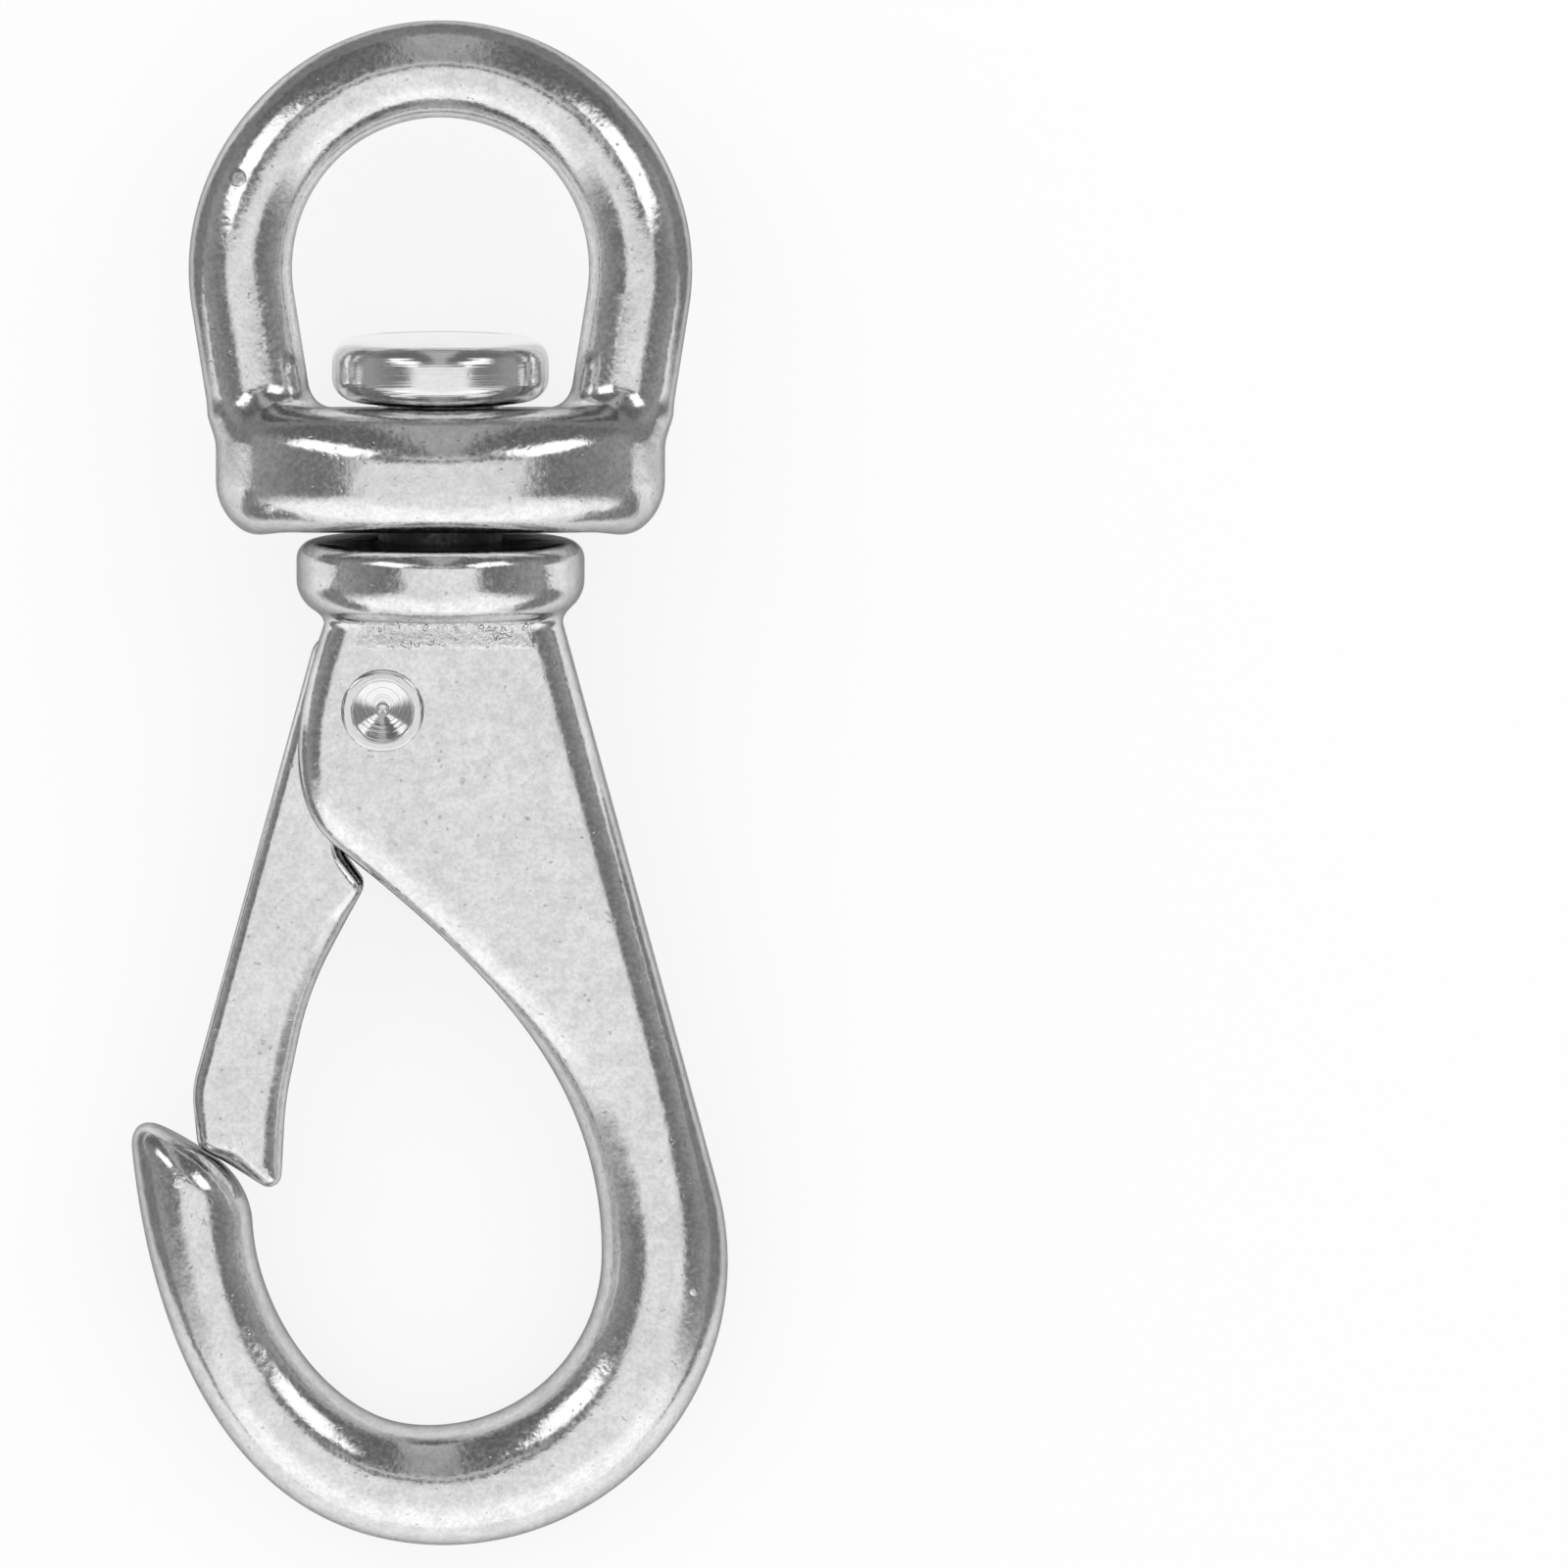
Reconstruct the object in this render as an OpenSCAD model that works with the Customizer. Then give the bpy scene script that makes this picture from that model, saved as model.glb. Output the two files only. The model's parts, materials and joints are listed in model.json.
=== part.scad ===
// Swivel snap hook, polished cast stainless steel, lying on its back on a table.
// Every piece is drawn in an upright working frame and laid down at the end:
// y = 0 is the flange face below the eye, +y points to the eye, +x to the spine of
// the hook, +z out of the front face.

/* [Hook] */
// Length from the flange face to the bottom of the bend
hook_len = 59.6; // [54:0.2:72]
// Outer radius of the bend
bend_r = 16.8; // [15:0.1:19]
// Inner radius of the bowl that a ring lies in
bowl_r = 10.2; // [8.5:0.1:12]
// Thickness of the round stock at the bottom of the bend, in the plane of the hook
wire_w = 7.1; // [6:0.1:8.4]
// Thickness of the plate and of the bend, front to back
plate_t = 7.2; // [6:0.1:8.6]
// Slope of the straight back edge of the plate, in degrees off the swivel axis
spine_slope = 15.3; // [12:0.1:18]
// Half width of the plate at the neck, on the side of the gate
neck_w = 6.5; // [5.5:0.1:7.5]
// Edge rounding of the plate
plate_edge_r = 1.3; // [0.6:0.1:1.8]
// Edge rounding of the two cheeks beside the gate
cheek_edge_r = 1.1; // [0.6:0.1:1.5]
// Rounding of the end of the bill
bill_end_r = 1.6; // [1:0.1:2.4]

/* [Flange] */
// Diameter of the flange at its widest
flange_d = 17; // [15:0.1:21]
// Height of the flange
flange_h = 4.4; // [3.8:0.1:6]

/* [Gate] */
// Thickness of the gate
gate_t = 3.4; // [2.6:0.1:4]
// Edge rounding of the gate
gate_edge_r = 0.7; // [0.3:0.1:1]
// Gap between the gate and each cheek
gate_gap = 0.12; // [0.08:0.01:0.3]
// Radius of the knuckle round the pin
knuckle_r = 4; // [3.4:0.1:4.2]
// Gap between the closed gate and the shoulder of the bill
shoulder_gap = 0.12; // [0.05:0.01:0.4]
// How far the gate opens, in degrees
gate_open = 28; // [20:1:29]

/* [Gate pin and spring] */
// Diameter of the gate pin
pin_d = 4.4; // [3.6:0.1:5]
// Radial gap between the pin and the bore of the gate
pin_gap = 0.05; // [0.02:0.01:0.1]
// How far the rim of the pin stands out of each cheek
pin_proud = 0.25; // [0.1:0.05:0.5]
// Depth of the cone drilled into each end of the pin
pin_cone = 1; // [0.5:0.1:1.4]
// Diameter of the spring wire
spring_wire = 0.5; // [0.4:0.05:0.6]
// Number of full turns of the spring
spring_turns = 2; // [1:1:2]

/* [Swivel bolt] */
// Diameter of the bolt head
head_d = 12.7; // [11.6:0.1:14]
// Height of the bolt head
head_h = 3.9; // [3:0.1:5]
// Diameter of the bolt shank
shank_d = 7.4; // [6:0.1:8.4]
// Depth to which the shank is set in the hook
shank_depth = 4.2; // [3:0.1:4.4]

/* [Eye] */
// Mean radius of the bow
bow_r = 11.8; // [10.4:0.05:14.5]
// Diameter of the bow stock
bow_d = 5.7; // [5:0.1:7]
// Height of the centre of the bow above the bottom of the collar
bow_rise = 15.5; // [14.2:0.1:19]
// Width of the collar
collar_w = 26.5; // [23.5:0.1:32]
// Height of the collar
collar_h = 7.3; // [6:0.1:9]
// Depth of the arms of the collar, front to back
arm_t = 8.8; // [7:0.1:10]
// Diameter of the round boss of the collar
boss_d = 17.2; // [15:0.1:21]
// Rounding of the lower edge of the collar
collar_low_r = 2.7; // [1.5:0.1:3.4]
// Rounding of the upper edge of the collar
collar_top_r = 1; // [0.5:0.1:1.5]
// Angle by which the loose eye hangs back on its bolt, in degrees
eye_droop = 4; // [2:0.5:5]
// Clear play left between the tilted eye and the bolt
eye_play = 0.1; // [0.05:0.01:0.2]

/* [Hidden] */
$fn = 64;
steel = "silver";
spring_steel = "dimgray";

// Small vector and curve helpers
function unit(v) = v / norm(v);
function mix(a, b, t) = a * (1 - t) + b * t;
function smooth(t) = let(c = min(1, max(0, t))) c * c * (3 - 2 * c);
function polar(r, a) = r * [cos(a), sin(a)];
function bezier(p, t) = let(s = 1 - t)
    s * s * s * p[0] + 3 * s * s * t * p[1] + 3 * s * t * t * p[2] + t * t * t * p[3];

// Outline with rounded corners: each corner is [x, y, radius], and a radius of 0 keeps it sharp
function corner_arc(a, p, b, r, steps) = let(
    u = unit(a - p), v = unit(b - p), half = acos(u * v) / 2,
    centre = p + unit(u + v) * r / sin(half),
    s = p + u * r / tan(half) - centre, e = p + v * r / tan(half) - centre,
    from = atan2(s[1], s[0]), sweep = (atan2(e[1], e[0]) - from + 540) % 360 - 180)
    [for (i = [0:steps]) centre + polar(r, from + sweep * i / steps)];
function xy(v) = [v[0], v[1]];
function rounded(c, steps = 4) = let(n = len(c))
    [for (i = [0:n - 1])
        for (p = c[i][2] == 0 ? [xy(c[i])]
            : corner_arc(xy(c[(i + n - 1) % n]), xy(c[i]), xy(c[(i + 1) % n]), c[i][2], steps)) p];

// Skin over rings with equal numbers of points
module skin(rings) {
    n = len(rings[0]);
    last = (len(rings) - 1) * n;
    polyhedron(
        points = [for (ring = rings) for (p = ring) p],
        faces = concat(
            [[for (j = [0:n - 1]) j]],
            [for (i = [0:len(rings) - 2]) for (j = [0:n - 1])
                let(k = (j + 1) % n) [i * n + j, (i + 1) * n + j, i * n + k]],
            [for (i = [0:len(rings) - 2]) for (j = [0:n - 1])
                let(k = (j + 1) % n) [(i + 1) * n + j, (i + 1) * n + k, i * n + k]],
            [[for (j = [n - 1:-1:0]) last + j]]));
}

// Places that several pieces share
half_t = plate_t / 2;
bend_c = [0.15, bend_r - hook_len];
bowl_c = [-0.7, bowl_r + wire_w - hook_len];
spine_foot = bend_c + polar(bend_r, spine_slope);
neck_y = -3;
spine_len = (neck_y - spine_foot[1]) / cos(spine_slope);
pin_c = [-3.4, -flange_h - 5.4];
slot_top = -flange_h - 0.5;
slot_t = gate_t + 2 * gate_gap;

// Outer edge of the hook, by the distance from the neck: the straight spine, then the bend
function outer_edge(d) = d < spine_len
    ? spine_foot + (spine_len - d) * [-sin(spine_slope), cos(spine_slope)]
    : bend_c + polar(bend_r, spine_slope - (d - spine_len) / bend_r * 180 / PI);
function bend_at(a) = spine_len + (spine_slope - a) * PI / 180 * bend_r;

// Inner edge in four stretches: the cheek, the slope above the opening, the bowl and the bill
cheek_corner = [-6.3, -flange_h - 13.5];
cheek_heading = [-0.78, 0.625];
cheek_curve = [
    [-neck_w + 0.4, neck_y], [-neck_w - 2.7, -flange_h - 6.1], cheek_corner + 3.6 * cheek_heading, cheek_corner];
bowl_start = bowl_c + [bowl_r, 0];
slope_curve = [cheek_corner, cheek_corner - 10.1 * cheek_heading, bowl_start + [0, 11.2], bowl_start];
bowl_turn = 98;
outer_turn = 104;

// The bill rises from the bend to a slanted shoulder, which the gate closes against
bill_out = bend_c + [-18.45, 7.3];
bill_in = bend_c + [-11.3, 3];
bill_out_curve = let(s = bend_c + polar(bend_r, -outer_turn), along = polar(1, -outer_turn - 90))
    [s, s + 9.7 * along, bill_out + [0.9, -10.5], bill_out];
bill_in_curve = let(s = bowl_c + polar(bowl_r, -bowl_turn), along = polar(1, -bowl_turn - 90))
    [s, s + 4.6 * along, bill_in + [0, -5.8], bill_in];
shoulder_along = unit(bill_in - bill_out);
shoulder_up = [-shoulder_along[1], shoulder_along[0]];

// Each station of the loft is [outer point, inner point, outer rounding, inner rounding]
cheek_steps = 11;
slope_steps = 20;
bowl_steps = 14;
bill_steps = 12;
end_steps = 4;
cheek_run = 14.5;
slope_edge_r = 1.9;
round_r = half_t;
stations = concat(
    [for (i = [0:cheek_steps - 1]) let(t = i / cheek_steps)
        [outer_edge(cheek_run * t), bezier(cheek_curve, t),
            plate_edge_r, mix(cheek_edge_r, slope_edge_r, smooth(2 * t - 1))]],
    [for (i = [0:slope_steps - 1]) let(t = i / slope_steps)
        [outer_edge(mix(cheek_run, bend_at(0), t)), bezier(slope_curve, t),
            mix(plate_edge_r, round_r, smooth(2.2 * t - 1.2)), mix(slope_edge_r, round_r, smooth(1.1 * t))]],
    [for (i = [0:bowl_steps - 1]) let(t = i / bowl_steps)
        [bend_c + polar(bend_r, -outer_turn * t), bowl_c + polar(bowl_r, -bowl_turn * t), round_r, round_r]],
    [for (i = [0:bill_steps]) let(t = i / bill_steps)
        [bezier(bill_out_curve, t), bezier(bill_in_curve, t), round_r, round_r]]);

// Ring of the loft: a rounded rectangle that stands on the line between its two edge points
arc_steps = 5;
function ring(s, inset = 0, lift = 0) = let(
    mid = (s[0] + s[1]) / 2, along = unit(s[0] - s[1]), across = [along[1], -along[0]],
    w = norm(s[0] - s[1]) / 2 - inset, h = half_t - inset,
    out_r = max(0.2, min(s[2] - inset, w)), in_r = max(0.2, min(s[3] - inset, w)),
    out_h = min(out_r, h), in_h = min(in_r, h),
    corners = [[1, -1, out_r, out_h], [1, 1, out_r, out_h], [-1, 1, in_r, in_h], [-1, -1, in_r, in_h]])
    [for (k = [0:3]) for (j = [0:arc_steps]) let(
        c = corners[k], step = 90 * (j + 0.02) / (arc_steps + 0.04), a = k % 2 == 0 ? 90 - step : step,
        u = c[0] * (w - c[2] + c[2] * cos(a)), v = c[1] * (h - c[3] + c[3] * sin(a)),
        p = mid + u * along + lift * across)
        [p[0], p[1], v]];

module hook_loft() {
    end = stations[len(stations) - 1];
    skin(concat(
        [for (s = stations) ring(s)],
        [for (i = [1:end_steps]) let(a = 90 * i / end_steps)
            ring(end, bill_end_r * (1 - cos(a)), bill_end_r * sin(a))]));
}

// Turned profiles are drawn with the radius along x and the height along y
flange_bulge = 0.25;
module flange_profile() {
    r = flange_d / 2;
    polygon(rounded([
        [0, -flange_h, 0],
        [0, 0, 0],
        [r - flange_bulge, 0, 0.5],
        [r, -flange_h * 0.4, 4],
        [r - flange_bulge, -flange_h, 1.6]]));
}

// The slot between the cheeks is open to the left and to the opening; its end wall stops the gate
slot_room = 0.5;
slot_wall = pin_c[0] + knuckle_r + slot_room;
module slot_profile() {
    left = pin_c[0] - 12;
    low = pin_c[1] - 17.5;
    polygon(rounded([[left, slot_top, 0.3], [slot_wall, slot_top, 2], [slot_wall, low, 0.3], [left, low, 0.3]]));
}

module spin() rotate([-90, 0, 0]) rotate_extrude() children();
module along_pin(h, r) translate([pin_c[0], pin_c[1], 0]) cylinder(h = h, r = r, center = true);

// One casting: the flange, the plate with its two cheeks, and the round bend
module hook_body() color(steel) difference() {
    union() {
        hook_loft();
        spin() flange_profile();
    }
    linear_extrude(slot_t, center = true) slot_profile();
    along_pin(plate_t + 2, pin_d / 2);
    rotate([90, 0, 0]) translate([0, 0, -1]) cylinder(h = shank_depth + 1, d = shank_d);
}

// Blade of the gate: straight back, slanted end that meets the shoulder, heel below the cheek
back_slope = [-sin(spine_slope), -cos(spine_slope)];
gate_back_len = 27.8;
gate_top = pin_c + [-3.95, 4.1];
gate_foot = gate_top + gate_back_len * back_slope;
shoulder_mid = (bill_out + bill_in) / 2 + (bill_end_r + shoulder_gap) * shoulder_up;
gate_end_back = 0.6;
gate_end_front = 5.1;
gate_end = shoulder_mid - gate_end_back * shoulder_along;
gate_tip = shoulder_mid + gate_end_front * shoulder_along;
heel = [-4.4, -flange_h - 15.9];
notch = [-6.4, -flange_h - 13.2];

module gate_outline() {
    knuckle_side = pin_c + polar(knuckle_r, -40);
    polygon(rounded([
        [gate_top[0], gate_top[1], 1.2],
        [gate_foot[0], gate_foot[1], 2],
        [gate_end[0], gate_end[1], 0.8],
        [gate_tip[0], gate_tip[1], 0.75],
        [gate_tip[0] + 0.3, gate_tip[1] + 5.6, 20],
        [heel[0] - 3.4, heel[1] - 6.4, 20],
        [heel[0], heel[1], 0.8],
        [notch[0], notch[1], 1.5],
        [knuckle_side[0], knuckle_side[1], 0.2],
        [pin_c[0], pin_c[1] + knuckle_r, 0.2]]));
    translate(pin_c) circle(r = knuckle_r);
}

// The spring is a coil round the pin with two legs: one bears on the end wall of the
// slot, the other lies in a groove of the gate and pushes it shut
spring_r = pin_d / 2 + 0.2 + spring_wire / 2;
spring_pitch = spring_wire * 1.05;
coil_start = 25;
coil_sweep = 360 * spring_turns + 135;
coil_rise = spring_pitch * coil_sweep / 360;
coil_low = 0.1 + spring_wire / 2 - gate_t / 2;
pocket_r = spring_r + spring_wire / 2 + 0.2;
pocket_depth = coil_rise + spring_wire + 0.3;
wall_leg = (slot_wall - pin_c[0] - spring_wire / 2 - 0.03 - spring_r * cos(coil_start)) / sin(coil_start);
gate_leg = 7.5;

// Wire of round section swept along a path of points
function ring_at(path, i, r, sides) = let(
    n = len(path), t = unit(path[min(i + 1, n - 1)] - path[max(i - 1, 0)]),
    u = unit(cross(t, [0, 0, 1])), v = cross(t, u))
    [for (j = [0:sides - 1]) let(a = 360 * j / sides) path[i] + r * (cos(a) * u + sin(a) * v)];
module sweep(path, radii, sides)
    skin([for (i = [0:len(path) - 1]) ring_at(path, i, radii[i], sides)]);

module spring_pocket() {
    groove = spring_wire + 0.3;
    swing = 7;
    translate([pin_c[0], pin_c[1], -gate_t / 2 - 0.1]) {
        cylinder(h = pocket_depth + 0.1, r = pocket_r);
        linear_extrude(pocket_depth + 0.1)
            polygon([[0, 0], polar(swing, coil_start), polar(swing, -10), polar(swing, -coil_start - gate_open - 20)]);
        rotate([0, 0, coil_start + coil_sweep]) translate([spring_r - groove / 2, 0, 0])
            cube([groove, gate_leg + 0.3, pocket_depth + 0.1]);
    }
}

module gate() color(steel) difference() {
    minkowski() {
        linear_extrude(gate_t - 2 * gate_edge_r, center = true) offset(delta = -gate_edge_r) gate_outline();
        sphere(r = gate_edge_r, $fn = 16);
    }
    along_pin(gate_t + 2, pin_d / 2 + pin_gap);
    spring_pocket();
}

module gate_spring() color(spring_steel) {
    steps = 40;
    coil = [for (i = [0:steps]) let(a = coil_start + coil_sweep * i / steps, p = polar(spring_r, a))
        [p[0], p[1], coil_low + coil_rise * i / steps]];
    first = coil[0] + wall_leg * [sin(coil_start), -cos(coil_start), 0];
    out = coil_start + coil_sweep;
    last = coil[steps] + gate_leg * [-sin(out), cos(out), 0];
    path = concat([first], coil, [last]);
    translate(pin_c) sweep(path, [for (p = path) spring_wire / 2], 8);
}

// Pin through both cheeks and the gate, with a cone drilled in each end that spreads its rim
module gate_pin() color(steel) translate(pin_c) rotate_extrude() {
    top = half_t + pin_proud;
    rim = pin_d / 2 + 0.25;
    cone_r = pin_d / 2 - 0.4;
    drill_r = 0.4;
    floor_z = top - pin_cone;
    side = [[drill_r, floor_z - 0.3], [drill_r, floor_z], [cone_r, top - 0.12], [cone_r + 0.1, top],
        [rim - 0.12, top], [rim, top - 0.12], [rim, half_t], [pin_d / 2, half_t]];
    polygon(concat([[0, floor_z - 0.45]], side,
        [for (i = [len(side) - 1:-1:0]) [side[i][0], -side[i][1]]], [[0, 0.45 - floor_z]]));
}

// Seat of the eye, which hangs back on its bolt until the lower edge of its boss meets the flange
flat_r = boss_d / 2 - collar_low_r;
eye_y = eye_play + (collar_h / 2 - collar_low_r) * cos(eye_droop) + flat_r * sin(eye_droop) + collar_low_r;
head_low_r = 1.3;
head_top_r = 1.6;
head_y = eye_y + collar_h / 2 * cos(eye_droop) + (head_d / 2 - head_low_r) * sin(eye_droop) + eye_play;
bore_r = (shank_d / 2 + collar_h / 2 * sin(eye_droop)) / cos(eye_droop) + eye_play;

module swivel_bolt() color(steel) spin() {
    chamfer = 0.5;
    polygon(concat(
        [[0, head_y + head_h], [0, -shank_depth], [shank_d / 2 - chamfer, -shank_depth],
            [shank_d / 2, chamfer - shank_depth], [shank_d / 2, head_y]],
        corner_arc([0, head_y], [head_d / 2, head_y], [head_d / 2, head_y + head_h], head_low_r, 6),
        corner_arc([head_d / 2, head_y], [head_d / 2, head_y + head_h], [0, head_y + head_h], head_top_r, 6)));
}

// One casting: the bow and its collar, drawn with y = 0 on the lower face of the boss.
// The legs of the bow thicken a little and flare inward where they run into the collar.
leg_angle = 9;
leg_swell = 0.2;
foot_depth = 2.5;
foot_flare = 0.6;
function flare(y) = foot_flare * pow(1 - smooth((y - collar_h + 1) / 4), 2);
module bow() {
    arc_steps = 30;
    leg_steps = 5;
    start = [0, bow_rise] + polar(bow_r, -leg_angle);
    leg_len = (start[1] - collar_h + foot_depth) / cos(leg_angle);
    leg = [for (i = [leg_steps:-1:1]) start - leg_len * i / leg_steps * [sin(leg_angle), cos(leg_angle)]];
    arc = [for (i = [0:arc_steps]) [0, bow_rise] + polar(bow_r, mix(-leg_angle, 180 + leg_angle, i / arc_steps))];
    middle = concat(leg, arc, [for (i = [len(leg) - 1:-1:0]) [-leg[i][0], leg[i][1]]]);
    sweep([for (p = middle) [p[0] - sign(p[0]) * flare(p[1]), p[1], 0]],
        [for (p = middle) bow_d / 2 + leg_swell * smooth((bow_rise + bow_r - p[1]) / bow_r) + flare(p[1])], 18);
}

arm_drop = 0.3;
arm_end_r = 1.6;
crown = 0.2;
// The arms are the part that three outlines share: from the front, from the side and from above
module box_outline(x, y0, y1, r0, r1) polygon(rounded([[-x, y0, r0], [x, y0, r0], [x, y1, r1], [-x, y1, r1]], 5));
module collar_arms() intersection() {
    linear_extrude(2 * arm_t, center = true)
        box_outline(collar_w / 2, -arm_drop, collar_h, collar_low_r - 0.4, collar_top_r);
    rotate([0, 90, 0]) linear_extrude(2 * collar_w, center = true)
        box_outline(arm_t / 2, -arm_drop, collar_h, collar_low_r, collar_top_r);
    rotate([90, 0, 0]) linear_extrude(4 * collar_h, center = true)
        box_outline(collar_w / 2, -arm_t / 2, arm_t / 2, arm_end_r, arm_end_r);
}
module boss() spin() {
    r = boss_d / 2;
    polygon(concat([[0, collar_h], [0, 0]],
        corner_arc([0, 0], [r, 0], [r, collar_h / 2], collar_low_r, 6),
        corner_arc([r, collar_h / 2], [r - crown, collar_h], [0, collar_h], collar_top_r, 4)));
}

module eye() color(steel) translate([0, eye_y, 0]) rotate([-eye_droop, 0, 0]) translate([0, -collar_h / 2, 0])
    difference() {
        union() {
            bow();
            collar_arms();
            boss();
        }
        translate([0, collar_h / 2, 0]) rotate([90, 0, 0]) cylinder(h = 2 * collar_h, r = bore_r, center = true);
    }

// Rest: the back of the flange and the back of the bend touch the floor
bend_y = hook_len - wire_w / 2;
rest_gap = bend_y - flange_h / 2;
rest_tilt = let(a = atan2(flange_d / 2, rest_gap)) a - asin(half_t / norm([flange_d / 2, rest_gap]));
rest_z = bend_y * sin(rest_tilt) + half_t;
far_y = eye_y * cos(rest_tilt) + (bow_rise + bow_r + bow_d / 2 - collar_h / 2) * cos(rest_tilt - eye_droop);
near_y = bend_y * cos(rest_tilt) + wire_w / 2;
middle = [(bend_c[0] + bend_r + bill_out[0]) / 2, (far_y - near_y) / 2];
module lay_down() translate([-middle[0], -middle[1], rest_z]) rotate([rest_tilt, 0, 0]) children();

lay_down() hook_body();
lay_down() gate();
lay_down() gate_pin();
lay_down() gate_spring();
lay_down() swivel_bolt();
lay_down() eye();
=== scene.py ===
"""Swivel snap hook on a pale floor: detailed castings, turned parts, steel materials and studio light."""

import json
import math

import bpy
import numpy as np
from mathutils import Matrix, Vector


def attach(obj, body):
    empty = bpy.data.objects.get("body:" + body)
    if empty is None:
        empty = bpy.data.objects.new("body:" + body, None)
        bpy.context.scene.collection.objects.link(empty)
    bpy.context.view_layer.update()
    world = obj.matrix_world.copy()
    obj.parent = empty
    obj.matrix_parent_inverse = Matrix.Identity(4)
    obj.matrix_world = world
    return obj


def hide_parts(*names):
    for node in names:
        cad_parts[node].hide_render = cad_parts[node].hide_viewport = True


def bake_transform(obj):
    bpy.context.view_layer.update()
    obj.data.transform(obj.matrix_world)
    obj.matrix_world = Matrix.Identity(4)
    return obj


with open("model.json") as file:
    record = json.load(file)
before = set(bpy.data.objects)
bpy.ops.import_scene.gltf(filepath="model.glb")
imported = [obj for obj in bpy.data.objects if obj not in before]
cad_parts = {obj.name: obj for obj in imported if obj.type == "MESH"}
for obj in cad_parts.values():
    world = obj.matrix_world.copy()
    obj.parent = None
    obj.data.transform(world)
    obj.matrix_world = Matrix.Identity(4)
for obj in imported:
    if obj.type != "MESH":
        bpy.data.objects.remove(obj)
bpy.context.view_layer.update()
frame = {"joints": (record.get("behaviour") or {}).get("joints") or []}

MM = 0.001

# The upright working frame of the part, in mm: y runs up the bolt from the flange face, z out of the front
swivel = next(j for j in frame["joints"] if j["name"] == "eye_swivel")
ORIGIN = np.array(swivel["pos_m"], float)
UP = np.array(swivel["axis"], float)
BASIS = np.array([[1.0, 0.0, 0.0], UP, np.cross([1.0, 0.0, 0.0], UP)])

# The photograph: its width and height, its scale, and the pixel that the working frame's origin falls on
PHOTO = 1600
PX_PER_MM = 17.3
ORIGIN_PX = (449.5, 551.0)


def to_floor(p):
    """Points of the working frame, in mm, to the frame of the part as it lies, in metres."""
    return ORIGIN + MM * np.asarray(p, float) @ BASIS


def at_photo(px, py):
    """Place on the floor, in metres, under a pixel of the photograph."""
    return ORIGIN[:2] + MM * np.array([px - ORIGIN_PX[0], ORIGIN_PX[1] - py]) / PX_PER_MM


# Curves and outlines


def polar(r, degrees):
    a = np.radians(degrees)
    return r * np.stack([np.cos(a), np.sin(a)], -1)


def unit(v):
    return v / np.linalg.norm(v)


def smooth(t):
    t = np.clip(t, 0, 1)
    return t * t * (3 - 2 * t)


def bezier(points, n):
    t = np.linspace(0, 1, n, endpoint=False)[:, None]
    a, b, c, d = (np.asarray(p, float) for p in points)
    return (1 - t) ** 3 * a + 3 * (1 - t) ** 2 * t * b + 3 * (1 - t) * t * t * c + t ** 3 * d


def arc(a, p, b, r, steps=14):
    """Corner at p between the directions to a and b, rounded by r."""
    p = np.asarray(p, float)
    u, v = unit(np.asarray(a, float) - p), unit(np.asarray(b, float) - p)
    half = math.acos(u @ v) / 2
    centre = p + unit(u + v) * r / math.sin(half)
    s, e = p + u * r / math.tan(half) - centre, p + v * r / math.tan(half) - centre
    start = math.degrees(math.atan2(s[1], s[0]))
    turn = (math.degrees(math.atan2(e[1], e[0])) - start + 540) % 360 - 180
    return centre + polar(r, start + turn * np.linspace(0, 1, steps))


def rounded(corners, steps=24):
    """Closed outline with rounded corners: each corner is (x, y, radius)."""
    neighbours = zip(corners[-1:] + corners[:-1], corners, corners[1:] + corners[:1])
    return np.concatenate([arc(a[:2], p[:2], b[:2], p[2], steps) for a, p, b in neighbours])


def run_on(points, length):
    """The curve with its last direction run on straight."""
    way = unit(points[-1] - points[-2])
    return np.concatenate([points, points[-1] + way * np.linspace(0.1, length, 20)[:, None]])


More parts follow.
